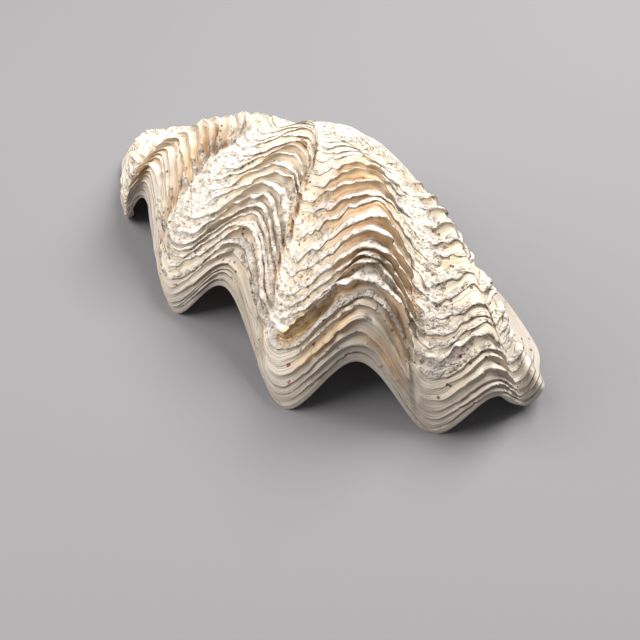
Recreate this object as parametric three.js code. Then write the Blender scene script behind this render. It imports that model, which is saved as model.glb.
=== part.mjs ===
// One valve of a giant clam, lying with its open side down.
// Millimetres, +Z up. X runs along the hinge, -Y faces the scalloped edge, and z = 0 is the
// surface that the valve rests on. The origin is at the middle of the valve's footprint.
import * as THREE from 'three';

// The beak, where growth began. The edge stations below are measured from it in X and Y.
const BEAK = { x: -11.26, y: 25.4, z: 64 };

// Stations round the edge of the valve. x and y run from the beak, z is the height above the rest
// plane. A rib is the arch of a fold and a tongue is the part between two arches that reaches down.
// bow, push and lift bend a rib or groove along X, Y and Z on its way from the beak to the edge: push
// bends it early, bow halfway and lift late.
// curl is the share of the coiling turn that the station takes: it is negative behind the beak,
// where the shell falls away to the hinge.
const STATIONS = [
  { name: 'hinge, left end', x: -61, y: 29, z: 0, bow: -7, push: 5, lift: 1, curl: -0.1 },
  { name: 'left back corner', x: -118, y: 0, z: 3.0, bow: -14, push: 6, lift: 2, curl: 0.5 },
  { name: 'first tongue', x: -83, y: -46, z: 1.0, bow: -14, push: 4, lift: 0, curl: 0.9 },
  { name: 'first rib', x: -61, y: -49, z: 25.5, bow: -8, push: 7, lift: 2, curl: 1 },
  { name: 'second tongue', x: -22, y: -79, z: -1, bow: -14, push: 8, lift: -14, curl: 1 },
  { name: 'second rib', x: 7, y: -71, z: 26, bow: 5, push: 14, lift: -1, curl: 1 },
  { name: 'third tongue', x: 52, y: -93, z: -1, bow: 0, push: 16, lift: -10, curl: 1 },
  { name: 'third rib', x: 77, y: -73, z: 29, bow: 16.5, push: 2.5, lift: 12.5, curl: 1 },
  { name: 'fourth tongue', x: 110, y: -68, z: -1, bow: 18.5, push: 21, lift: 2, curl: 1 },
  { name: 'fourth rib', x: 128, y: -55, z: 25.5, bow: 21, push: 12.5, lift: -1, curl: 1 },
  { name: 'fifth tongue', x: 137, y: -36, z: 4, bow: 22.5, push: 9.5, lift: 3, curl: 1 },
  { name: 'fifth rib', x: 140.5, y: -29, z: 11.5, bow: 15.5, push: 15, lift: 1, curl: 0.9 },
  { name: 'right end', x: 134, y: -15, z: 3, bow: 4, push: 9, lift: 0.5, curl: 0.7 },
  { name: 'right back corner', x: 126, y: -2, z: 2, bow: 0, push: 4, lift: 0, curl: 0.4 },
  { name: 'hinge, right end', x: 95, y: 20, z: 0, bow: -2, push: 1, lift: 0, curl: -0.1 },
  { name: 'hinge, right of the beak', x: 57, y: 35, z: -4, bow: 0, push: 0, lift: 0, curl: -0.7 },
  { name: 'hinge, behind the beak', x: -10, y: 38, z: -4, bow: 0, push: 0, lift: 0, curl: -0.7 },
];
const FIRST_FOLD = 2;
const LAST_FOLD = 12;

// How the shell coiled as it grew
const COIL_TURN = 0.993;
const COIL_POWER = 1.57;
const COIL_TILT = -0.066;
const FOLD_POWER = 0.107;
const BENDS_FOLDED_BY = 0.45;

// Growth ledges: raised steps across the ribs, one for each pause in growth
const LEDGE_COUNT = 14;
const LEDGE_START = 0.13;
const LEDGE_END = 0.955;
const LEDGE_ON_RIB = 3.4;
const LEDGE_IN_GROOVE = 0.7;
const LEDGE_OVERHANG = 1.6;

// Wall thickness
const WALL_AT_EDGE = 4.2;
const WALL_AT_BEAK = 9;
const HINGE_PLATE = 13;
const CLEARANCE_BEHIND_EDGE = 12;

// Mesh density
const COLUMNS_PER_STATION = 5;
const BEAK_ROWS = [0.03, 0.06, 0.1];
const EDGE_ROWS = [0.975, 1];
const INNER_ROWS = [1, 0.97, 0.9, 0.8, 0.68, 0.56, 0.44, 0.33, 0.23, 0.14];

const beak = new THREE.Vector3(BEAK.x, BEAK.y, BEAK.z);
const coilAxis = new THREE.Vector3(Math.cos(COIL_TILT), 0, Math.sin(COIL_TILT));

// The stations with their folds smoothed out
const FOLDED_KEYS = ['x', 'y', 'z', 'bow', 'push', 'lift'];
const SMOOTH_STATIONS = STATIONS.map((station, i) => {
  if (i < FIRST_FOLD - 1 || i > LAST_FOLD + 1) return station;
  const smoothed = { ...station };
  FOLDED_KEYS.forEach((key) => {
    smoothed[key] = station[key] / 2 + (STATIONS[i - 1][key] + STATIONS[i + 1][key]) / 4;
  });
  return smoothed;
});

// A smooth closed curve through one value of the stations
function around(stations, key, t) {
  const n = stations.length;
  const i = Math.floor(t);
  const u = t - i;
  const [a, b, c, d] = [-1, 0, 1, 2].map((k) => stations[(i + k + n) % n][key]);
  return b + 0.5 * u * (c - a + u * (2 * a - 5 * b + 4 * c - d + u * (3 * b - a - 3 * c + d)));
}

// A value of the stations at t, with the given share of its folds
function folded(key, t, share) {
  const smooth = around(SMOOTH_STATIONS, key, t);
  return smooth + share * (around(STATIONS, key, t) - smooth);
}

// 1 on the crest of a rib, 0 in a groove and on the plain back of the valve
function ribShare(t) {
  if (t < FIRST_FOLD || t > LAST_FOLD) return 0;
  return Math.sin((Math.PI * (t - FIRST_FOLD)) / 2) ** 2;
}

// A point of the smooth outer surface: t runs round the edge, s from the beak (0) to the edge (1).
// foldShare 1 gives the full folds, 0 none.
function surfacePoint(t, s, foldShare = 1) {
  const share = foldShare * s ** FOLD_POWER;
  const arm = new THREE.Vector3(...['x', 'y', 'z'].map((key) => folded(key, t, share)));
  arm.z -= BEAK.z;
  const turn = -COIL_TURN * (1 - s ** COIL_POWER) * around(STATIONS, 'curl', t);
  arm.applyAxisAngle(coilAxis, turn).multiplyScalar(s);
  const early = 6.75 * s * (1 - s) ** 2;
  const middle = 4 * s * (1 - s);
  const late = 6.75 * s ** 2 * (1 - s);
  const bendShare = foldShare * THREE.MathUtils.smoothstep(s, 0, BENDS_FOLDED_BY);
  arm.x += middle * folded('bow', t, bendShare);
  arm.y += early * folded('push', t, bendShare);
  arm.z += late * folded('lift', t, bendShare);
  return arm.add(beak);
}

// Unit vectors at a point of the surface: out of the shell, and along its growth
function directions(t, s, foldShare = 1) {
  const dt = 0.05;
  const ds = 0.01;
  const before = Math.max(s - ds, 0.005);
  const growth = surfacePoint(t, before + ds, foldShare).sub(surfacePoint(t, before, foldShare));
  const along = surfacePoint(t + dt, s, foldShare).sub(surfacePoint(t - dt, s, foldShare));
  return { out: new THREE.Vector3().crossVectors(growth, along).normalize(), growth: growth.normalize() };
}

// Rows of the outer surface: s, and how far the row stands up and leans out on its ledge
function outerRows() {
  const rows = BEAK_ROWS.map((s) => ({ s, rise: 0, lean: 0 }));
  const step = (LEDGE_END - LEDGE_START) / LEDGE_COUNT;
  for (let k = 0; k < LEDGE_COUNT; k += 1) {
    const start = LEDGE_START + k * step;
    const size = 0.75 + 0.35 * Math.sin(2.4 * k) * Math.cos(0.9 * k);
    rows.push({ s: start, rise: -0.1 * size, lean: 0 });
    rows.push({ s: start + 0.5 * step, rise: 0.55 * size, lean: 0.3 * size });
    rows.push({ s: start + 0.82 * step, rise: size, lean: size });
  }
  EDGE_ROWS.forEach((s) => rows.push({ s, rise: 0, lean: 0 }));
  return rows;
}

// The edge is flat where it rests, and the rows behind it stay a little above the rest plane
function restOnPlane(point, s) {
  point.z = Math.max(point.z, CLEARANCE_BEHIND_EDGE * (1 - s));
  return point;
}

function outerPoint(t, row) {
  const { out, growth } = directions(t, row.s);
  const size = Math.min(1, 0.25 + 1.1 * row.s);
  const height = size * (LEDGE_IN_GROOVE + (LEDGE_ON_RIB - LEDGE_IN_GROOVE) * ribShare(t));
  const point = surfacePoint(t, row.s);
  point.addScaledVector(out, height * row.rise);
  point.addScaledVector(growth, LEDGE_OVERHANG * ribShare(t) * row.lean * row.s);
  return restOnPlane(point, row.s);
}

// The hollow: it follows the folds at the edge and grows smooth towards the beak, where the wall is
// measured square to the shell without its folds
function innerPoint(t, s) {
  const foldShare = 1 - ribShare(t) * (1 - s ** 1.5);
  const { out } = directions(t, s, 0);
  out.lerp(directions(t, s, foldShare).out, THREE.MathUtils.smoothstep(s, 0.3, 0.7)).normalize();
  const behind = Math.max(0, -around(STATIONS, 'curl', t)) / 0.7;
  const edgeWall = WALL_AT_EDGE + (HINGE_PLATE - WALL_AT_EDGE) * Math.min(1, behind);
  const wall = edgeWall + (WALL_AT_BEAK - edgeWall) * (1 - s) ** 0.8;
  return restOnPlane(surfacePoint(t, s, foldShare).addScaledVector(out, -wall), s);
}

function shellGeometry() {
  const columns = COLUMNS_PER_STATION * STATIONS.length;
  const positions = [];
  const faces = [];
  const addRing = (pointAt) => {
    const first = positions.length / 3;
    for (let c = 0; c < columns; c += 1) positions.push(...pointAt(c / COLUMNS_PER_STATION).toArray());
    return first;
  };
  const addTip = (point) => {
    positions.push(...point.toArray());
    return positions.length / 3 - 1;
  };
  const joinRings = (from, to) => {
    for (let c = 0; c < columns; c += 1) {
      const next = (c + 1) % columns;
      faces.push(from + c, to + c, to + next, from + c, to + next, from + next);
    }
  };

  const outerTip = addTip(surfacePoint(0, 0));
  const outer = outerRows().map((row) => addRing((t) => outerPoint(t, row)));
  const inner = INNER_ROWS.map((s) => addRing((t) => innerPoint(t, s)));
  const innerTip = addTip(new THREE.Vector3(BEAK.x, BEAK.y, BEAK.z - WALL_AT_BEAK - 1));
  const rings = [...outer, ...inner];
  for (let r = 1; r < rings.length; r += 1) joinRings(rings[r - 1], rings[r]);
  for (let c = 0; c < columns; c += 1) {
    const next = (c + 1) % columns;
    faces.push(outerTip, rings[0] + c, rings[0] + next);
    faces.push(innerTip, rings.at(-1) + next, rings.at(-1) + c);
  }
  const geometry = new THREE.BufferGeometry();
  geometry.setAttribute('position', new THREE.Float32BufferAttribute(positions, 3));
  geometry.setIndex(faces);
  geometry.computeVertexNormals();
  return geometry;
}

const shellMaterial = new THREE.MeshStandardMaterial({ color: 0xe8dccb, roughness: 0.8, metalness: 0 });
const valve = new THREE.Mesh(shellGeometry(), shellMaterial);
valve.name = 'valve';

const giantClamShell = new THREE.Group();
giantClamShell.add(valve);
export default giantClamShell;
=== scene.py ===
"""One valve of a giant clam, lying open side down: a coiled shell with growth ledges and crust."""
import math

import bpy
import numpy as np
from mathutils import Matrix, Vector


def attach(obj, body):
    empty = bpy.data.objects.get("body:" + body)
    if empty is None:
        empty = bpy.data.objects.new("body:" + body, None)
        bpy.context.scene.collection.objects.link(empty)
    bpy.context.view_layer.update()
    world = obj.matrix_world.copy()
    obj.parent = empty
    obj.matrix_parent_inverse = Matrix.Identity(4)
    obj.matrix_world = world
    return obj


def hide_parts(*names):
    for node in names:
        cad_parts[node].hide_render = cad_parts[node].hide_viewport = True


bl_info = {
    "name": "Giant clam valve",
    "version": (1, 0, 0),
    "blender": (4, 5, 0),
    "location": "View3D > Sidebar > Clam valve",
    "description": "Builds one valve of a giant clam with its ledges, crust, finish and a plain stage",
    "category": "Add Mesh",
}

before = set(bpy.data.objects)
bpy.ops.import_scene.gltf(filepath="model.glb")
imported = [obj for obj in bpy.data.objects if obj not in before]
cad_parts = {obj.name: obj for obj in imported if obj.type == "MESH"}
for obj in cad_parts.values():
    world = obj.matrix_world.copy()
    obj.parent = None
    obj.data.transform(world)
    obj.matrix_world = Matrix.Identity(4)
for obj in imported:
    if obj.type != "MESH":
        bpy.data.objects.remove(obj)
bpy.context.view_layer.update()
MM = 0.001

# The beak, where growth began, in millimetres
BEAK = np.array([-11.26, 25.4, 64.0])

# Stations round the edge: x and y from the beak, z above the rest plane, then how a rib or groove
# bends on its way from the beak along X, Y and Z, and its share of the coiling turn
STATIONS = {
    "hinge, left end": (-61, 29, 0, -7, 5, 1, -0.1),
    "left back corner": (-118, 0, 3, -14, 6, 2, 0.5),
    "first tongue": (-83, -46, 1, -14, 4, 0, 0.9),
    "first rib": (-61, -49, 25.5, -8, 7, 2, 1),
    "second tongue": (-22, -79, -1, -14, 8, -14, 1),
    "second rib": (7, -71, 26, 5, 14, -1, 1),
    "third tongue": (52, -93, -1, 0, 16, -10, 1),
    "third rib": (77, -73, 29, 16.5, 2.5, 12.5, 1),
    "fourth tongue": (110, -68, -1, 18.5, 21, 2, 1),
    "fourth rib": (128, -55, 25.5, 21, 12.5, -1, 1),
    "fifth tongue": (137, -36, 4, 22.5, 9.5, 3, 1),
    "fifth rib": (140.5, -29, 11.5, 15.5, 15, 1, 0.9),
    "right end": (134, -15, 3, 4, 9, 0.5, 0.7),
    "right back corner": (126, -2, 2, 0, 4, 0, 0.4),
    "hinge, right end": (95, 20, 0, -2, 1, 0, -0.1),
    "hinge, right of the beak": (57, 35, -4, 0, 0, 0, -0.7),
    "hinge, behind the beak": (-10, 38, -4, 0, 0, 0, -0.7),
}
FIRST_FOLD, LAST_FOLD = 2, 12

# How the shell coiled as it grew
COIL_TURN = 0.993
COIL_POWER = 1.57
COIL_TILT = -0.066
FOLD_POWER = 0.107
BENDS_FOLDED_BY = 0.45

# Wall thickness, and how high the rows behind the edge clear the rest plane for each unit of growth,
# in millimetres
WALL_AT_EDGE = 4.2
WALL_AT_BEAK = 9.0
HINGE_PLATE = 13.0
CLEARANCE_BEHIND_EDGE = 12.0

# Share of the coiling turn at the stations behind the beak, where the wall is the hinge plate
HINGE_CURL = -0.7

# In the tables below, a place on the shell is its station, counted from 0 round the edge, and its
# growth, which runs from 0 at the beak to 1 at the edge.

# Pauses in growth: the growth of each ledge's lip, and how bold it is. The first ledge's foot is given
# in the same way.
LEDGES = (
    (0.11, 0.4), (0.15, 0.5), (0.195, 0.6), (0.24, 0.7), (0.285, 0.8), (0.33, 0.8),
    (0.375, 0.85), (0.42, 0.9), (0.466, 1.0), (0.507, 0.85), (0.548, 1.0), (0.608, 1.15),
    (0.65, 1.1), (0.693, 1.1), (0.72, 0.8), (0.747, 0.8), (0.776, 1.3), (0.825, 0.75),
    (0.848, 0.5), (0.886, 0.8), (0.918, 0.35), (0.942, 0.5), (0.966, 0.35),
)
FIRST_FOOT = (0.075, 0.4)
LIPS = (FIRST_FOOT, *LEDGES)

# How lips stray: all together, in growth, then each alone, as a share of the gap to the next lip
LIP_WANDER = 0.008
LIP_WAVER = 0.5
LIP_NICKS = 0.3

# Where single ledges stand out or are worn away: station, growth, reach in each, and the factor
BOLD_AND_WORN = (
    (5.3, 0.7, 0.7, 0.015, 1.5),  # a bold lip across the second rib
    (5.3, 0.755, 0.7, 0.015, 1.4),  # the next bold lip on that rib
    (3.2, 0.5, 0.5, 0.06, 1.7),  # the steps halfway down the first rib
    (6.1, 0.776, 0.5, 0.015, 3.5),  # the great ledge across the third tongue
    (8.2, 0.776, 0.7, 0.015, 3.5),  # the same ledge across the fourth tongue
    (9.3, 0.6, 0.8, 0.14, 0.2),  # the worn patch on the fourth rib
    (6.0, 0.12, 2.5, 0.12, 0.4),  # the old shell near the beak
)

# The left end's pleats: the station they centre on, their reach, and their height as a share of a rib's
LEFT_PLEATS = (1.6, 0.65)
PLEAT_HEIGHT = 0.7

# Where lips stand up in spikes: station and its reach, growth and its reach. SPIKE_HEIGHT is what a
# spike adds to a lip, as a share of its height, and CHIP_DEPTH is what a chip takes away.
SPIKY = (1.7, 0.7, 0.6, 0.3)
SPIKE_HEIGHT = 1.7
CHIP_DEPTH = 0.7

# The smooth worn patch on the fourth rib: station and its reach, growth and its reach
WORN_PATCH = (9.2, 1.0, 0.62, 0.2)

# Growth between which the crust thins out, and growth past which no ledge has a foot
CRUST_THINS = (0.79, 0.87)
LAST_FOOT = 0.965

# Where crust lies thick: station, growth, reach in each, and how much more. Less than 0 is cleaner.
CRUSTED = (
    (3.82, 0.53, 0.35, 0.16, 0.9),  # beside the second tongue, halfway down
    (5.94, 0.75, 0.3, 0.04, 1.0),  # on the third tongue, above the great ledge
    (5.5, 0.6, 0.2, 0.2, 0.5),  # between the second rib and the third tongue
    (8.2, 0.45, 0.5, 0.12, 0.5),  # on the fourth tongue, halfway down
    (6.94, 0.77, 0.6, 0.014, 0.8),  # along the great ledge on the third rib
    (8.4, 0.8, 0.4, 0.03, 0.8),  # under the great ledge on the fourth tongue
    (2.8, 0.6, 0.75, 0.45, -1.7),  # the clean pleats of the first rib
    (1.3, 0.7, 0.6, 0.4, -1.0),  # the clean left end
)

# Where the faces are stained: station, growth, reach in each, and how much more
STAINED = (
    (6.8, 0.54, 0.5, 0.07, 1.0),  # the third rib, halfway down
    (7.3, 0.7, 0.5, 0.09, 0.9),  # the third rib's right side
    (6.7, 0.8, 0.3, 0.03, 0.6),  # under the great ledge on the third rib
    (5.3, 0.72, 0.4, 0.05, 0.6),  # the second rib, low down
    (6.5, 0.47, 0.3, 0.05, 0.9),  # the third rib's left side, halfway down
    (7.0, 0.4, 0.5, 0.06, 0.5),  # the third rib, high up
    (6.6, 0.89, 0.3, 0.02, 0.9),  # a streak at the third rib's rim, on the left
    (7.3, 0.93, 0.3, 0.02, 0.9),  # a streak at the third rib's rim, on the right
    (7.5, 0.83, 0.2, 0.05, 0.7),  # between the third rib and the fourth tongue
    (3.55, 0.55, 0.2, 0.2, 0.8),  # between the first rib and the second tongue
    (5.72, 0.6, 0.12, 0.2, 0.7),  # along the seam beside the second rib
    (2.6, 0.75, 0.5, 0.1, 0.4),  # the first rib's left side
    (5.0, 0.42, 0.6, 0.08, 0.4),  # the second rib, high up
)

# Single stains and small growths, and one dark spot of painted shade where the knob has a hole: colour,
# station, growth, reach in each, and strength
SPOTS = (
    ("ochre", 6.25, 0.795, 0.34, 0.032, 1.0),  # under the great ledge, on the third tongue
    ("pink", 8.5, 0.79, 0.14, 0.02, 0.8),  # under the great ledge, beside the fourth tongue
    ("brown", 15.72, 0.18, 0.4, 0.04, 0.6),  # behind the beak
    # Painted shade: a dark brown spot where the knob high up on the second rib has a hole
    ("brown", 5.08, 0.394, 0.16, 0.02, 1.8),  # the knob high up on the second rib
    ("brown", 5.8, 0.32, 0.1, 0.03, 1.0),  # between that knob and the third tongue
    ("red", 4.16, 0.853, 0.03, 0.006, 1.6),  # the second tongue's spot
    ("red", 6.18, 0.869, 0.03, 0.006, 1.6),  # three spots on the third tongue
    ("red", 6.18, 0.912, 0.025, 0.006, 1.6),
    ("red", 6.46, 0.869, 0.03, 0.004, 1.4),
)

# Seams sunk between a rib and the tongue after it: station, growth where each begins and ends, depth
SEAMS = (
    (5.72, 0.25, 0.9, 2.2),
    (3.62, 0.3, 0.85, 1.8),
    (7.76, 0.55, 0.93, 1.8),
)
SEAM_REACH = 0.07

# Noises that shape the ledges and the crust: size in millimetres, and seed
WANDER = (34, 3)
WAVER = (19, 4)
NICKS = (3.4, 5)
UNEVEN = (21, 6)
RIPPLE = (7, 10)
CHIPS = (3.6, 7)
SPIKES = (4.5, 13)
PATCHES = (17, 11)
SPECKLES = (8, 12)

# Seed of the crust's lumps and the bored pits
RELIEF_SEED = 4.0

# Swells of the whole surface: height and size in millimetres, and seed
SWELLS = ((1.1, 26, 8), (0.5, 9, 9), (0.25, 4, 14))

# Rows of one ledge: up its crusted top from foot to lip, then down the smooth face under the lip.
# FACE_REACH is the share of the way to the next lip that the face takes, with that way counted as
# FACE_LIMIT of growth at most. LIP_ABOVE is the share of a lip's height that stands above the smooth
# shell, and the rest is how deep its foot is cut.
TOP_ROWS = (0.0, 0.3, 0.6, 0.85, 1.0)
FACE_ROWS = (0.06, 0.22, 0.5, 0.8)
FACE_REACH = 0.55
FACE_LIMIT = 0.06
LIP_ABOVE = 0.7

# Rows before the first foot and after the last lip, then the rows round the rim, as shares of the
# wall's thickness, and how far they stand out, in millimetres
BEAK_ROWS = (0.015, 0.035, 0.06)
RIM_ROWS = (0.974, 0.985, 0.994, 1.0)
RIM_ROUNDING = (0.2, 0.5, 0.8)
RIM_BULGE = 0.9

# Growth at which the rim's fine lines begin, and how fast they follow each other
RIM_LINES_FROM = 0.962
RIM_LINES = 40

# Rows of the hollow, from the rim to the beak
INNER_ROWS = (
    1, 0.985, 0.965, 0.94, 0.91, 0.875, 0.84, 0.8, 0.755, 0.71,
    0.66, 0.61, 0.56, 0.5, 0.44, 0.38, 0.32, 0.26, 0.2, 0.14,
)

# Columns round the edge: from one station to another, how many for each station
COLUMN_SPANS = ((0, 1, 12), (1, 2.5, 24), (2.5, 10.5, 34), (10.5, 12.5, 22), (12.5, 17, 10))

# The fill light's power, as a share of the key light's
FILL_SHARE = 1.1

# Cells along each side of the cube of random values that the noises repeat
LATTICE = 32

EDGE = np.array(list(STATIONS.values()), float)
EDGE[:, :2] += BEAK[:2]
SMOOTH = EDGE.copy()
for i in range(FIRST_FOLD - 1, LAST_FOLD + 2):
    SMOOTH[i, :6] = EDGE[i, :6] / 2 + (EDGE[i - 1, :6] + EDGE[i + 1, :6]) / 4


def around(values, t):
    """A smooth closed curve through values at t = 0, 1, 2 and so on."""
    i = np.floor(t).astype(int)
    u = (t - i).reshape(t.shape + (1,) * (values.ndim - 1))
    a, b, c, d = (values[(i + k) % len(values)] for k in (-1, 0, 1, 2))
    return b + 0.5 * u * (c - a + u * (2 * a - 5 * b + 4 * c - d + u * (3 * b - a - 3 * c + d)))


def smoothstep(low, high, x):
    """0 below low, 1 above high, and a soft ramp between."""
    u = np.clip((x - low) / (high - low), 0, 1)
    return u * u * (3 - 2 * u)


def bell(x, centre, width):
    """1 at the centre, falling softly to 0 over about twice the width."""
    return np.exp(-(((x - centre) / width) ** 2))


def lattice_noise(points, size, seed):
    """Smooth random values from -1 to 1 that change over about the given size."""
    lattice = np.random.default_rng(seed).uniform(-1, 1, (LATTICE, LATTICE, LATTICE))
    scaled = points / size
    cell = np.floor(scaled).astype(int)
    u = scaled - cell
    u = u * u * (3 - 2 * u)
    total = 0
    for corner in np.ndindex(2, 2, 2):
        weight = np.prod(np.where(corner, u, 1 - u), axis=-1)
        place = (cell + corner) % LATTICE
        total = total + weight * lattice[place[..., 0], place[..., 1], place[..., 2]]
    return total


def rib_share(t):
    """1 on the crest of a rib, 0 in a groove and on the plain back of the valve."""
    inside = (t > FIRST_FOLD) & (t < LAST_FOLD)
    return np.where(inside, np.sin(math.pi * (t - FIRST_FOLD) / 2) ** 2, 0)


def surface(t, s, fold_share=1.0):
    """Points of the smooth outer surface: t runs round the edge, s from the beak to the edge."""
    t, s, fold_share = np.broadcast_arrays(t, s, fold_share)
    smooth = around(SMOOTH, t)
    fold = around(EDGE, t) - smooth
    arm = smooth[..., :3] + (fold_share * s**FOLD_POWER)[..., None] * fold[..., :3] - BEAK
    turn = (-COIL_TURN * (1 - s**COIL_POWER) * smooth[..., 6])[..., None]
    axis = np.array([math.cos(COIL_TILT), 0, math.sin(COIL_TILT)])
    along = (arm @ axis)[..., None] * axis
    arm = arm * np.cos(turn) + np.cross(axis, arm) * np.sin(turn) + along * (1 - np.cos(turn))

    # Each bend peaks at 1: the early one at a third of the growth, the late one at two thirds
    early = 6.75 * s * (1 - s) ** 2
    middle = 4 * s * (1 - s)
    late = 6.75 * s**2 * (1 - s)
    bend_share = fold_share * smoothstep(0, BENDS_FOLDED_BY, s)
    bend = smooth[..., 3:6] + bend_share[..., None] * fold[..., 3:6]
    bend = bend * np.stack([middle, early, late], -1)
    return BEAK + arm * s[..., None] + bend


def directions(t, s, fold_share=1.0):
    """Unit vectors at points of the surface: out of the shell, and along its growth."""
    before = np.maximum(s - 0.01, 0.005)
    growth = surface(t, before + 0.01, fold_share) - surface(t, before, fold_share)
    across = surface(t + 0.05, s, fold_share) - surface(t - 0.05, s, fold_share)
    out = np.cross(growth, across)
    out /= np.linalg.norm(out, axis=-1, keepdims=True)
    growth /= np.linalg.norm(growth, axis=-1, keepdims=True)
    return out, growth


def rest_on_plane(points, s):
    """The edge is flat where it rests, and the rows behind it stay a little above."""
    points[..., 2] = np.maximum(points[..., 2], CLEARANCE_BEHIND_EDGE * (1 - s))
    return points


def growth_columns():
    """t of every column of the mesh."""
    spans = [np.linspace(a, b, round((b - a) * n), endpoint=False) for a, b, n in COLUMN_SPANS]
    return np.concatenate(spans)


def lip_lines(t):
    """Growth of the first foot and of every lip at every column. Lips stray, and merge where they meet."""
    middles = np.array([growth for growth, _ in LIPS])[:, None]
    on_surface = surface(t[None, :], middles)
    wander = LIP_WANDER * lattice_noise(on_surface, *WANDER)
    gap = np.diff(middles, axis=0, append=1.0)

    # Each lip reads the noises at a place of its own, and the late lips are nicked less
    order = np.arange(len(middles))[:, None, None] * 9.7
    waver = LIP_WAVER * gap * lattice_noise(on_surface + order, *WAVER)
    late = smoothstep(0.78, 0.88, middles)
    nicks = LIP_NICKS * gap * lattice_noise(on_surface + order, *NICKS) * (1 - 0.6 * late)
    lips = middles + (wander + waver + nicks) * smoothstep(0, 0.05, 1 - middles)
    return np.maximum.accumulate(lips, axis=0)


def lip_heights(t, lips, height_on_rib, height_in_groove):
    """How far each lip stands out of the shell, in millimetres, at every column."""
    on_surface = surface(t[None, :], lips)
    share = np.minimum(rib_share(t) + PLEAT_HEIGHT * bell(t, *LEFT_PLEATS), 1)[None, :]
    height = height_in_groove + (height_on_rib - height_in_groove) * share
    sizes = np.array([size for _, size in LIPS])[:, None]
    height = height * sizes * np.minimum(1, 0.3 + 0.95 * lips)
    for station, growth, reach_t, reach_s, factor in BOLD_AND_WORN:
        share = bell(t[None, :], station, reach_t) * bell(lips, growth, reach_s)
        height = height * (1 + (factor - 1) * share)

    # Each lip is uneven, chipped and spiked in its own places
    order = np.arange(len(lips))[:, None, None] * 7.3
    uneven = 0.25 + 1.15 * smoothstep(-0.7, 0.5, lattice_noise(on_surface + order, *UNEVEN))
    uneven = uneven * (1 + 0.25 * lattice_noise(on_surface + order, *RIPPLE))
    chips = 1 - CHIP_DEPTH * smoothstep(0.35, 0.65, lattice_noise(on_surface + order, *CHIPS))
    spiky = bell(t[None, :], *SPIKY[:2]) * bell(lips, *SPIKY[2:])
    spikes = spiky * smoothstep(0.2, 0.5, lattice_noise(on_surface + order, *SPIKES))
    return height * uneven * chips * (1 + SPIKE_HEIGHT * spikes)


def seam_depth(t, s):
    """Depth of the seams, in millimetres, as they wander up the shell."""
    depth = 0
    t = t + 0.05 * np.sin(31 * s) + 0.03 * np.sin(83 * s)
    for station, start, end, deepest in SEAMS:
        along = smoothstep(start - 0.08, start + 0.08, s) * smoothstep(end + 0.04, end - 0.04, s)
        depth = depth + deepest * bell(t, station, SEAM_REACH) * along
    return depth


def ledge_rows(k, foot, lip, next_foot, height, lean):
    """Rows of ledge k: up its top from foot to lip, then down the face, which tucks in under the lip.

    Each row has its growth s, how far it rises and leans, its age in half ledges, and its top: 0 to 1
    from the foot to the lip, and 0 to -1 down the face.
    """
    flat = np.zeros_like(lean)
    rows = []
    for u in TOP_ROWS:
        climb = height * (u - 1 + LIP_ABOVE)
        rows.append(dict(s=foot + u * (lip - foot), rise=climb, lean=lean * u**3,
                         age=2 * k + u + flat, top=u + flat))
    for u in FACE_ROWS:
        tuck = lean * (1 - u) ** 8 - 0.6 * lean * math.sin(math.pi * u**0.5)
        drop = height * (LIP_ABOVE - u**0.55)
        rows.append(dict(s=lip + u * (next_foot - lip), rise=drop, lean=tuck,
                         age=2 * k + 1 + u + flat, top=-u + flat))
    return rows


def outer_rows(t, sizes):
    """Points of the outside of the valve, row by row from the beak to the rim, and the rows' values."""
    lips = lip_lines(t)
    heights = lip_heights(t, lips, sizes.ledge_height / MM, sizes.groove_height / MM)
    lean = sizes.lip_overhang / MM * np.minimum(rib_share(t) ** 0.5 + bell(t, *LEFT_PLEATS), 1)
    flat = np.zeros_like(t)
    rows = [dict(s=s + flat, rise=flat, lean=flat, age=s * 10 + flat, top=flat) for s in BEAK_ROWS]
    ends = np.concatenate([lips, np.ones((1, len(t)))])
    feet = ends[:-1] + FACE_REACH * np.minimum(np.diff(ends, axis=0), FACE_LIMIT)
    for k in range(len(LEDGES)):
        rows += ledge_rows(k, feet[k], lips[k + 1], feet[k + 1], heights[k + 1], lean)
    for s in RIM_ROWS:
        age = 2 * len(LEDGES) + (s - RIM_LINES_FROM) * RIM_LINES
        rows.append(dict(s=s + flat, rise=flat, lean=flat, age=age + flat, top=-0.5 + flat))
    stacked = {key: np.array([row[key] for row in rows]) for key in rows[0]}
    s = stacked["s"]
    points = surface(t[None, :], s)
    out, growth = directions(t[None, :], s)
    seam = seam_depth(t[None, :], s)
    calm = smoothstep(0, 0.06, 1 - s) * smoothstep(0, 0.1, s)
    swell = sum(height * lattice_noise(points, size, seed) for height, size, seed in SWELLS)
    rise = stacked["rise"] * (1 - 0.6 * np.minimum(seam, 1)) + calm * swell - seam
    points = points + rise[..., None] * out + stacked["lean"][..., None] * growth
    return rest_on_plane(points, s), stacked


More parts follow.
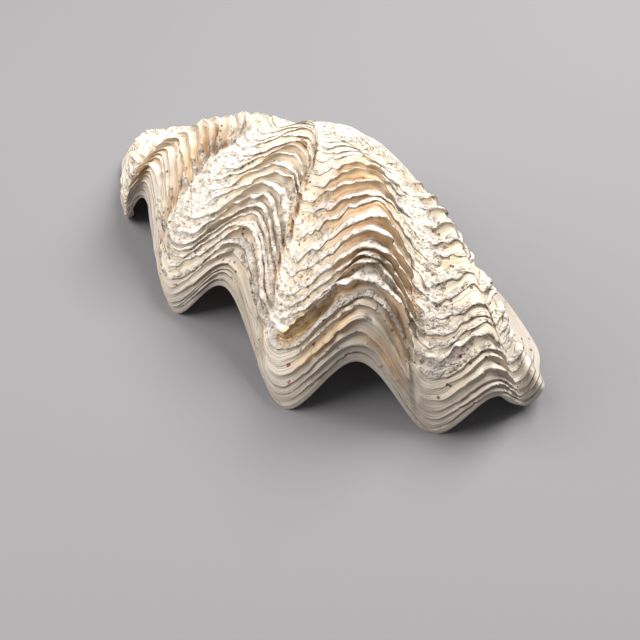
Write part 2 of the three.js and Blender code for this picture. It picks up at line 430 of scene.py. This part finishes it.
def rim_and_inner_rows(t):
    """Points of the rounded rim and of the smooth hollow, row by row from the rim to the beak."""
    curl = around(EDGE, t)[..., 6]
    behind = np.clip(curl / HINGE_CURL, 0, 1)
    edge_wall = WALL_AT_EDGE + (HINGE_PLATE - WALL_AT_EDGE) * behind
    one = np.ones_like(t)
    out, growth = directions(t, one)
    rows, places = [], []
    for share in RIM_ROUNDING:
        bulge = RIM_BULGE * math.sin(math.pi * share) * (1 - behind)
        point = surface(t, one) - (edge_wall * share)[:, None] * out + bulge[:, None] * growth
        rows.append(rest_on_plane(point, one))
        places.append(1.0)
    for s in INNER_ROWS:
        fold_share = 1 - rib_share(t) * (1 - s**1.5)
        share = smoothstep(0.3, 0.7, s)
        out = (1 - share) * directions(t, s * one, 0.0)[0] + share * directions(t, s * one, fold_share)[0]
        out /= np.linalg.norm(out, axis=-1, keepdims=True)
        wall = edge_wall + (WALL_AT_BEAK - edge_wall) * (1 - s) ** 0.8
        point = surface(t, s * one, fold_share) - wall[:, None] * out
        rows.append(rest_on_plane(point, s * one))
        places.append(s)
    return np.array(rows), np.array(places)


def shell_masks(t, points, stacked):
    """Where the outside is crusted, stained, sunk or worn, each from 0 to 1."""
    s, top = stacked["s"], stacked["top"]
    rib = rib_share(t)[None, :]
    t = t[None, :]
    patchy = 0.5 + 0.5 * lattice_noise(points, *PATCHES)
    spotty = 0.5 + 0.5 * lattice_noise(points, *SPECKLES)
    older = 1 - 0.85 * smoothstep(*CRUST_THINS, s)
    worn = bell(t, *WORN_PATCH[:2]) * bell(s, *WORN_PATCH[2:])

    # Crust lies on the upper part of each ledge and in the grooves
    top_crust = smoothstep(0.05, 0.5, top) * (0.45 + 0.55 * patchy)
    groove_crust = (1 - rib) ** 2 * (0.2 + 0.5 * smoothstep(0.4, 0.75, patchy))
    crust = np.maximum(top_crust, groove_crust)
    for station, growth, reach_t, reach_s, amount in CRUSTED:
        crust = crust + amount * bell(t, station, reach_t) * bell(s, growth, reach_s) * (0.4 + 0.6 * spotty)
    crust = np.clip(crust * older * (1 - 0.75 * worn), 0, 1) * smoothstep(0, 0.03, 1 - s)

    # The foot of each ledge is sunk, and so are the seams and the face just under a bold lip. The finish
    # darkens all of these: partly stain, partly painted shade of the crevices, and painted shade under a
    # bold lip
    foot = np.where(top >= 0, np.exp(-top / 0.22), smoothstep(0.35, 1, -top))
    foot = np.where(s > LAST_FOOT, 0, foot) * (0.3 + 0.7 * rib)
    seam = np.minimum(seam_depth(t, s) / 2, 1) * (0.3 + 0.7 * smoothstep(0.35, 0.6, spotty))
    foot = np.maximum(foot, seam)
    # How bold the lips nearby are, used to paint shade on the face just under them
    bold = 0
    for station, growth, reach_t, reach_s, factor in BOLD_AND_WORN:
        if factor > 1:
            bold = bold + bell(t, station, reach_t) * bell(s, growth, 2 * reach_s)
    foot = np.maximum(foot, np.where(top < 0, np.exp(top / 0.2), 0) * np.minimum(bold, 1))
    # The lip mask marks each step's edge, which the finish paints pale cream: its real pale shell and a
    # painted highlight along the lip
    lip = np.where(top > 0, smoothstep(0.85, 1, top), smoothstep(-0.1, 0, top))

    # Stain warms the whole shell a little, more so halfway down
    stain = 0.1 + 0.25 * bell(s, 0.6, 0.4)
    for station, growth, reach_t, reach_s, amount in STAINED:
        stain = stain + amount * bell(t, station, reach_t) * bell(s, growth, reach_s)
    stain = np.clip(stain * (0.5 + patchy) * (1 - 0.6 * worn), 0, 1)
    return {"crust": crust, "foot": foot * (1 - 0.7 * worn), "lip": lip, "stain": stain,
            "inside": np.zeros_like(s), "age": stacked["age"], "worn": worn + np.zeros_like(s)}


def ring_faces(row_count, column_count):
    """Quads between neighbouring rings of points, facing out."""
    rows, columns = np.meshgrid(np.arange(row_count - 1), np.arange(column_count), indexing="ij")
    a = rows * column_count + columns
    b = rows * column_count + (columns + 1) % column_count
    return np.stack([a, a + column_count, b + column_count, b], -1).reshape(-1, 4)


def shell_mesh(sizes):
    """The whole valve as one closed mesh, with its masks as point attributes."""
    t = growth_columns()
    outer, stacked = outer_rows(t, sizes)
    masks = shell_masks(t, outer, stacked)
    inner, places = rim_and_inner_rows(t)
    rings = np.concatenate([outer, inner])
    count = len(t)
    tips = np.array([surface(np.zeros(1), np.zeros(1))[0], BEAK - (0, 0, WALL_AT_BEAK + 1)])
    points = np.concatenate([rings.reshape(-1, 3), tips]) * MM
    quads = ring_faces(len(rings), count)
    outer_tip, inner_tip = len(points) - 2, len(points) - 1
    column = np.arange(count)
    after = (column + 1) % count
    last = (len(rings) - 1) * count
    caps = [(outer_tip, a, b) for a, b in zip(column, after)]
    caps += [(inner_tip, last + b, last + a) for a, b in zip(column, after)]
    mesh = bpy.data.meshes.new("shell_surface")
    mesh.from_pydata(points.tolist(), [], quads.tolist() + [tuple(map(int, cap)) for cap in caps])
    mesh.update()
    chart = np.stack(np.broadcast_arrays(t[None, :], stacked["s"]), -1)
    inner_chart = np.stack(np.broadcast_arrays(t[None, :], places[:, None]), -1)
    store(mesh, "station", np.concatenate([chart[..., 0], inner_chart[..., 0]]))
    store(mesh, "growth", np.concatenate([chart[..., 1], inner_chart[..., 1]]))
    for name, values in masks.items():
        inner_value = {"inside": 1.0, "age": 50.0}.get(name, 0.0)
        store(mesh, name, np.concatenate([values, np.full(inner.shape[:2], inner_value)]))
    mesh.shade_smooth()
    return mesh


def store(mesh, name, rings):
    """Keeps one value for each point of the rings, and repeats the end rings' values at the two tips."""
    values = np.concatenate([rings.ravel(), [rings[0, 0], rings[-1, 0]]])
    mesh.attributes.new(name, "FLOAT", "POINT").data.foreach_set("value", values.astype(np.float32))


class Value:
    """An output of a node, for writing node maths as plain expressions."""

    def __init__(self, tree, socket):
        self.tree = tree
        self.socket = socket

    def math(self, operation, *values):
        return self.tree.add("ShaderNodeMath", {"operation": operation}, dict(enumerate(values)))

    def __add__(self, other):
        return self.math("ADD", self, other)

    def __radd__(self, other):
        return self.math("ADD", other, self)

    def __sub__(self, other):
        return self.math("SUBTRACT", self, other)

    def __rsub__(self, other):
        return self.math("SUBTRACT", other, self)

    def __mul__(self, other):
        return self.math("MULTIPLY", self, other)

    def __rmul__(self, other):
        return self.math("MULTIPLY", other, self)

    def __truediv__(self, other):
        return self.math("DIVIDE", self, other)

    def __rtruediv__(self, other):
        return self.math("DIVIDE", other, self)

    def between(self, low, high):
        """0 below low, 1 above high, and a soft ramp between; low may be above high."""
        inputs = {"Value": self, "From Min": low, "From Max": high}
        return self.tree.add("ShaderNodeMapRange", {"interpolation_type": "SMOOTHSTEP"}, inputs)


class Tree:
    """Adds nodes to a shader's or a geometry group's tree."""

    def __init__(self, tree):
        self.tree = tree

    def add(self, kind, settings=None, inputs=None, output=0):
        node = self.tree.nodes.new(kind)
        for name, value in (settings or {}).items():
            setattr(node, name, value)
        for key, value in (inputs or {}).items():
            if isinstance(value, Value):
                self.tree.links.new(value.socket, node.inputs[key])
            else:
                node.inputs[key].default_value = value
        return Value(self, node.outputs[output])

    def noise(self, place, scale, detail=2.0):
        inputs = {"Vector": place, "Scale": scale, "Detail": detail}
        return self.add("ShaderNodeTexNoise", inputs=inputs)

    def cells(self, place, scale):
        """Distance from the nearest of many scattered points, in cells."""
        return self.add("ShaderNodeTexVoronoi", inputs={"Vector": place, "Scale": scale})

    def attribute(self, name):
        return self.add("ShaderNodeAttribute", {"attribute_name": name}, output="Fac")

    def blend(self, share, first, second):
        """first where share is 0, second where it is 1."""
        inputs = {0: share, 6: first, 7: second}
        return self.add("ShaderNodeMix", {"data_type": "RGBA"}, inputs, output=2)


def new_material(name):
    """An empty material and its tree, with a Principled shader joined to the output."""
    material = bpy.data.materials.new(name)
    material.use_nodes = True
    tree = Tree(material.node_tree)
    shader = material.node_tree.nodes["Principled BSDF"]
    return material, tree, shader


def spot(station, growth, centre, reach):
    """1 in a small oval round a place on the shell, in stations and growth, softening to 0 outside it."""
    across = (station - centre[0]) / reach[0]
    along = (growth - centre[1]) / reach[1]
    return (across * across + along * along).between(1.0, 0.35)


def shell_material(colours):
    """Cream shell with chalky crust, crevices darkened by stain and by painted shade, painted shade in pits
    and specks, a painted highlight along the lips, fine growth lines and a smooth pale inside.
    """
    material, tree, shader = new_material("shell_finish")
    place = tree.add("ShaderNodeTexCoord", output="Object")
    station, growth, age = (tree.attribute(name) for name in ("station", "growth", "age"))
    crust, foot, lip = (tree.attribute(name) for name in ("crust", "foot", "lip"))
    stain, inside, worn = (tree.attribute(name) for name in ("stain", "inside", "worn"))

    x = tree.add("ShaderNodeSeparateXYZ", inputs={0: place}, output=0)
    y = tree.add("ShaderNodeSeparateXYZ", inputs={0: place}, output=1)
    lines_place = tree.add("ShaderNodeCombineXYZ", inputs={0: age * 5.0, 1: x * 30.0, 2: y * 30.0})
    lines = tree.noise(lines_place, 1.0, 4.0)
    thin_lines = lines.between(0.5, 0.62)
    mottle = tree.noise(place, 45.0, 3.0)
    patches = tree.noise(place, 130.0, 3.0)
    grain = tree.noise(place, 420.0, 4.0)
    fine_grain = tree.noise(place, 1100.0, 2.0)
    pit_places = worn.between(0.1, 0.3) + tree.noise(place, 90.0).between(0.56, 0.66) * 0.6
    pits = tree.cells(place, 260.0).between(0.2, 0.1) * pit_places.between(0.2, 0.5)

    # How much of each finish shows: crust and its specks, which are painted shade of the crust's tiny pits;
    # crevices, darkened partly by stain and partly as painted shade, and their deepest parts, painted
    # shade; warm stain
    crusted = (crust * 1.4 + (grain - 0.5) * 1.3 + (patches - 0.5) * 0.6).between(0.3, 0.7)
    # Specks: dark flecks in the crust, painted shade of its tiny pits and hollows
    specks = (fine_grain * 0.5 + grain * 0.5).between(0.54, 0.62) * crusted * mottle.between(0.36, 0.54)
    # Crevices: painted darker tan as shade, and orange where stained
    crevice_stain_and_shade = (foot * (0.5 + stain) + (patches - 0.5) * 0.7).between(0.3, 0.95)
    # The deepest crevices and the face under bold lips: painted shade in dark brown
    painted_crevice_shade = (foot * (0.6 + 0.5 * stain) + (grain - 0.5) * 0.9).between(0.72, 1.1)
    warmth = (stain + (mottle - 0.5) * 0.8 + (patches - 0.5) * 0.6).between(0.25, 0.9)

    # Each colour lies over the ones before it
    body = tree.blend(mottle.between(0.35, 0.65), colours.cream, colours.warm_cream)
    # The rim band is painted a darker grey-cream: its fresh greyish shell, darkened further as painted
    # shade of the low band near the floor
    rim = growth.between(0.8, 0.95) * (1.0 - inside)
    body = tree.blend(rim * 0.8, body, colours.rim)
    body = tree.blend(warmth * 0.75 * (1.0 - lip), body, colours.gold)
    body = tree.blend(thin_lines * (0.35 + 0.2 * rim), body, colours.tan)
    # The crevices are painted tan as painted shade, or orange where stained
    body = tree.blend(crevice_stain_and_shade * 0.8, body, tree.blend(stain.between(0.3, 0.8), colours.tan, colours.orange))
    # Painted shade: dark brown in the deepest crevices and under bold lips
    body = tree.blend(painted_crevice_shade * 0.8, body, colours.brown)
    crust_colour = tree.blend(grain.between(0.4, 0.65), colours.chalk, colours.grey)
    body = tree.blend(crusted * 0.8, body, crust_colour)
    # Lips painted pale cream: a painted highlight along each edge over its real pale shell
    body = tree.blend(lip * 0.5, body, colours.cream)
    # Painted shade: dark specks for the crust's tiny pits
    body = tree.blend(specks * 0.75, body, colours.speck)
    # Pits painted dark brown: painted shade inside the bored pits
    body = tree.blend(pits * 0.85, body, colours.brown)
    for name, centre_t, centre_s, reach_t, reach_s, strength in SPOTS:
        ragged_t = station + (grain - 0.5) * 0.1
        ragged_s = growth + (grain - 0.5) * 0.03
        patch = spot(ragged_t, ragged_s, (centre_t, centre_s), (reach_t, reach_s))
        streaks = 0.5 + 0.5 * thin_lines
        body = tree.blend(patch * streaks * strength, body, getattr(colours, name))
    body = tree.blend(inside, body, colours.porcelain)

    bumps = lines * -1.2 * (1.0 - crusted * 0.6) + crusted * (grain * 2.2 + fine_grain * 0.9) - pits * 1.6
    bump_inputs = {"Strength": 0.9, "Distance": 0.8 * MM, "Height": bumps * (1.0 - inside)}
    bump = tree.add("ShaderNodeBump", inputs=bump_inputs)
    rough = 0.6 + crusted * 0.3 - inside * 0.3 - worn * 0.08
    links = material.node_tree.links
    links.new(body.socket, shader.inputs["Base Color"])
    links.new(rough.socket, shader.inputs["Roughness"])
    links.new(bump.socket, shader.inputs["Normal"])
    shader.inputs["Specular IOR Level"].default_value = 0.35
    return material


def relief_group():
    """Geometry nodes that raise crust and sink pits on the shell where its masks say."""
    group = bpy.data.node_groups.new("shell_relief", "GeometryNodeTree")
    sockets = group.interface
    sockets.new_socket("Shell", in_out="INPUT", socket_type="NodeSocketGeometry")
    for name in ("Crust height", "Crust grain", "Pit depth", "Pit spacing", "Seed"):
        sockets.new_socket(name, in_out="INPUT", socket_type="NodeSocketFloat")
    sockets.new_socket("Finish", in_out="INPUT", socket_type="NodeSocketMaterial")
    sockets.new_socket("Shell", in_out="OUTPUT", socket_type="NodeSocketGeometry")
    tree = Tree(group)
    start = group.nodes.new("NodeGroupInput")
    given = {socket.name: Value(tree, socket) for socket in start.outputs if socket.name}

    def mask(name):
        return tree.add("GeometryNodeInputNamedAttribute", {"data_type": "FLOAT"}, {"Name": name})

    place = tree.add("GeometryNodeInputPosition")
    normal = tree.add("GeometryNodeInputNormal")
    seeded = {"noise_dimensions": "4D"}
    crust_inputs = {"Vector": place, "W": given["Seed"], "Scale": 1.0 / given["Crust grain"], "Detail": 3.0}
    lumps = tree.add("ShaderNodeTexNoise", seeded, crust_inputs) - 0.42
    pit_inputs = {"Vector": place, "W": given["Seed"], "Scale": 1.0 / given["Pit spacing"]}
    pits = tree.add("ShaderNodeTexVoronoi", {"voronoi_dimensions": "4D"}, pit_inputs).between(0.32, 0.12)
    raised = lumps * mask("crust") * given["Crust height"] * 2.0
    height = raised - pits * mask("crust").between(0.3, 0.6) * given["Pit depth"]
    offset = tree.add("ShaderNodeVectorMath", {"operation": "SCALE"}, {"Vector": normal, "Scale": height})
    moved = tree.add("GeometryNodeSetPosition", inputs={"Geometry": given["Shell"], "Offset": offset})
    real = tree.add("GeometryNodeRealizeInstances", inputs={"Geometry": moved})
    finished = tree.add("GeometryNodeSetMaterial", inputs={"Geometry": real, "Material": given["Finish"]})
    end = group.nodes.new("NodeGroupOutput")
    group.links.new(finished.socket, end.inputs[0])
    return group


def apply_nodes(piece, group, values):
    """Runs a node group on a piece with the given inputs, and keeps the result as the piece's mesh."""
    modifier = piece.modifiers.new(group.name, "NODES")
    modifier.node_group = group
    for socket in group.interface.items_tree:
        if socket.in_out == "INPUT" and socket.name in values:
            modifier[socket.identifier] = values[socket.name]
    shaped = piece.evaluated_get(bpy.context.evaluated_depsgraph_get())
    mesh = bpy.data.meshes.new_from_object(shaped)
    piece.modifiers.remove(modifier)
    piece.data = mesh


def new_piece(name, mesh):
    """Puts a mesh in the scene as an object at the origin."""
    piece = bpy.data.objects.new(name, mesh)
    bpy.context.scene.collection.objects.link(piece)
    return piece


def length_setting(name, description, default):
    """A length that a user can change, in metres."""
    return bpy.props.FloatProperty(name=name, description=description, default=default, unit="LENGTH",
                                   subtype="DISTANCE", precision=5)


def colour_setting(name, description, default):
    """A colour that a user can change, given as red, green and blue."""
    return bpy.props.FloatVectorProperty(name=name, description=description, default=(*default, 1.0),
                                         size=4, min=0.0, max=1.0, subtype="COLOR")


class ValveSizes(bpy.types.PropertyGroup):
    """Sizes of the valve's surface."""

    ledge_height: length_setting("Ledge height", "How far a lip stands out on the crest of a rib", 3.6 * MM)
    groove_height: length_setting("Groove height", "How far a lip stands out in a groove", 0.8 * MM)
    lip_overhang: length_setting("Lip overhang", "How far a lip leans out over the face under it", 1.2 * MM)
    crust_height: length_setting("Crust height", "How far the crust stands up", 1.1 * MM)
    crust_grain: length_setting("Crust grain", "Size of the crust's lumps", 3.2 * MM)
    pit_depth: length_setting("Pit depth", "Depth of the bored pits", 0.8 * MM)
    pit_spacing: length_setting("Pit spacing", "Distance between bored pits", 6.0 * MM)


class ValveColours(bpy.types.PropertyGroup):
    """Colours of the shell."""

    # Cream: the clean outer shell, also laid on the lips as a painted highlight
    cream: colour_setting("Cream", "Clean outer shell", (0.92, 0.82, 0.68))
    warm_cream: colour_setting("Warm cream", "Patches of warmer shell", (0.92, 0.77, 0.57))
    gold: colour_setting("Gold", "Warm tint of the stained faces", (0.88, 0.60, 0.32))
    # Tan: the growth lines, and painted shade in the shallow crevices
    tan: colour_setting("Tan", "Growth lines and shallow crevices", (0.60, 0.42, 0.25))
    orange: colour_setting("Orange", "Stain in the crevices", (0.66, 0.32, 0.11))
    # Brown: painted shade in the deepest crevices, under bold lips and in the pits, and the colour of the
    # brown spots, one of them painted shade of the knob's hole
    brown: colour_setting("Brown", "Deep crevices and pits", (0.20, 0.11, 0.06))
    chalk: colour_setting("Chalk", "White crust", (0.88, 0.82, 0.75))
    grey: colour_setting("Grey", "Hollows of the crust", (0.60, 0.53, 0.46))
    # Speck: painted shade of the crust's tiny pits
    speck: colour_setting("Speck", "Dark specks in the crust", (0.22, 0.18, 0.16))
    ochre: colour_setting("Ochre", "Stain under the third tongue's great ledge", (0.64, 0.38, 0.13))
    red: colour_setting("Red", "Small encrusting spots", (0.34, 0.05, 0.04))
    pink: colour_setting("Pink", "Encrusting growth on the fourth tongue", (0.50, 0.27, 0.23))
    # Rim: greyish fresh shell, darker still as painted shade of the low rim band
    rim: colour_setting("Rim", "Fresh shell at the rim", (0.58, 0.52, 0.455))
    porcelain: colour_setting("Porcelain", "Inside of the valve", (0.84, 0.80, 0.73))


class StageSettings(bpy.types.PropertyGroup):
    """Floor, lights and camera."""

    floor_colour: colour_setting("Floor", "Plain pale floor", (0.25, 0.24, 0.245))
    key_power: bpy.props.FloatProperty(name="Key power", description="Power of the key light",
                                       default=18.5, unit="POWER")
    azimuth: bpy.props.FloatProperty(name="Azimuth", description="Turn of the camera about the shell",
                                     default=math.radians(35.16), unit="ROTATION", subtype="ANGLE")
    elevation: bpy.props.FloatProperty(name="Elevation", description="Height of the camera above the floor",
                                       default=math.radians(50.11), unit="ROTATION", subtype="ANGLE")
    distance: length_setting("Distance", "From the camera to the floor at the picture's centre", 368.9 * MM)


class CLAM_OT_valve(bpy.types.Operator):
    """Build the shell with its growth ledges, crust and finish"""

    bl_idname = "clam.valve"
    bl_label = "Shell"

    def execute(self, context):
        sizes = context.scene.clam_sizes
        piece = new_piece("shell_surface", shell_mesh(sizes))
        values = {
            "Crust height": sizes.crust_height,
            "Crust grain": sizes.crust_grain,
            "Pit depth": sizes.pit_depth,
            "Pit spacing": sizes.pit_spacing,
            "Seed": RELIEF_SEED,
            "Finish": shell_material(context.scene.clam_colours),
        }
        apply_nodes(piece, relief_group(), values)
        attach(piece, "root")
        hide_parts("valve")
        return {"FINISHED"}


class CLAM_OT_stage(bpy.types.Operator):
    """Add the floor, the soft lights and the camera"""

    bl_idname = "clam.stage"
    bl_label = "Stage"

    def execute(self, context):
        settings = context.scene.clam_stage
        add_floor(settings.floor_colour)
        toward = Vector((-math.sin(settings.azimuth), math.cos(settings.azimuth), 0))
        right = Vector((math.cos(settings.azimuth), math.sin(settings.azimuth), 0))
        up = Vector((0, 0, 1))
        target = Vector((26.8, -19.1, 0)) * MM
        add_camera(settings, target, toward, up)
        key = target + 0.45 * right + 0.4 * toward + 0.95 * up
        add_soft_light("key_light", key, target, 0.7, settings.key_power)
        fill = target - 0.9 * right + 1.0 * up
        add_soft_light("fill_light", fill, target, 1.2, settings.key_power * FILL_SHARE)
        world = bpy.data.worlds.new("soft_room")
        world.use_nodes = True
        world.node_tree.nodes["Background"].inputs["Color"].default_value = (0.9, 0.93, 1.0, 1.0)
        world.node_tree.nodes["Background"].inputs["Strength"].default_value = 0.16
        context.scene.world = world
        context.scene.view_settings.view_transform = "Standard"
        return {"FINISHED"}


def add_floor(colour):
    """A wide plain floor that the valve lies on."""
    reach = 4.0
    mesh = bpy.data.meshes.new("floor")
    corners = [(-reach, -reach, 0), (reach, -reach, 0), (reach, reach, 0), (-reach, reach, 0)]
    mesh.from_pydata(corners, [], [(0, 1, 2, 3)])
    material, _, shader = new_material("pale_floor")
    shader.inputs["Base Color"].default_value = colour
    shader.inputs["Roughness"].default_value = 0.85
    mesh.materials.append(material)
    new_piece("floor", mesh)


def add_camera(settings, target, toward, up):
    """A camera at the picture's angle that looks at the target."""
    camera = bpy.data.cameras.new("camera")
    camera.sensor_width = 36.0
    camera.lens = 44.93
    camera.clip_start = 0.01
    looking = toward * math.cos(settings.elevation) - up * math.sin(settings.elevation)
    eye = bpy.data.objects.new("camera", camera)
    eye.location = target - looking * settings.distance
    eye.rotation_euler = looking.to_track_quat("-Z", "Y").to_euler()
    bpy.context.scene.collection.objects.link(eye)
    bpy.context.scene.camera = eye


def add_soft_light(name, place, target, size, power):
    """A square area light that faces the target."""
    light = bpy.data.lights.new(name, "AREA")
    light.size = size
    light.energy = power
    lamp = bpy.data.objects.new(name, light)
    lamp.location = place
    lamp.rotation_euler = (target - place).to_track_quat("-Z", "Y").to_euler()
    bpy.context.scene.collection.objects.link(lamp)


class CLAM_PT_sidebar(bpy.types.Panel):
    """Buttons and settings for the valve"""

    bl_label = "Clam valve"
    bl_idname = "CLAM_PT_sidebar"
    bl_space_type = "VIEW_3D"
    bl_region_type = "UI"
    bl_category = "Clam valve"

    def draw(self, context):
        layout = self.layout
        for operator in OPERATORS:
            layout.operator(operator.bl_idname)
        for name in SETTINGS:
            settings = getattr(context.scene, name)
            for key in settings.bl_rna.properties.keys():
                if key not in ("rna_type", "name"):
                    layout.prop(settings, key)


SETTINGS = {"clam_sizes": ValveSizes, "clam_colours": ValveColours, "clam_stage": StageSettings}
OPERATORS = (CLAM_OT_valve, CLAM_OT_stage)
CLASSES = (*SETTINGS.values(), *OPERATORS, CLAM_PT_sidebar)


def register():
    for kind in CLASSES:
        bpy.utils.register_class(kind)
    for name, kind in SETTINGS.items():
        setattr(bpy.types.Scene, name, bpy.props.PointerProperty(type=kind))


def unregister():
    for name in SETTINGS:
        delattr(bpy.types.Scene, name)
    for kind in reversed(CLASSES):
        bpy.utils.unregister_class(kind)


def main():
    register()
    bpy.ops.clam.valve()
    bpy.ops.clam.stage()


if __name__ == "__main__":
    main()
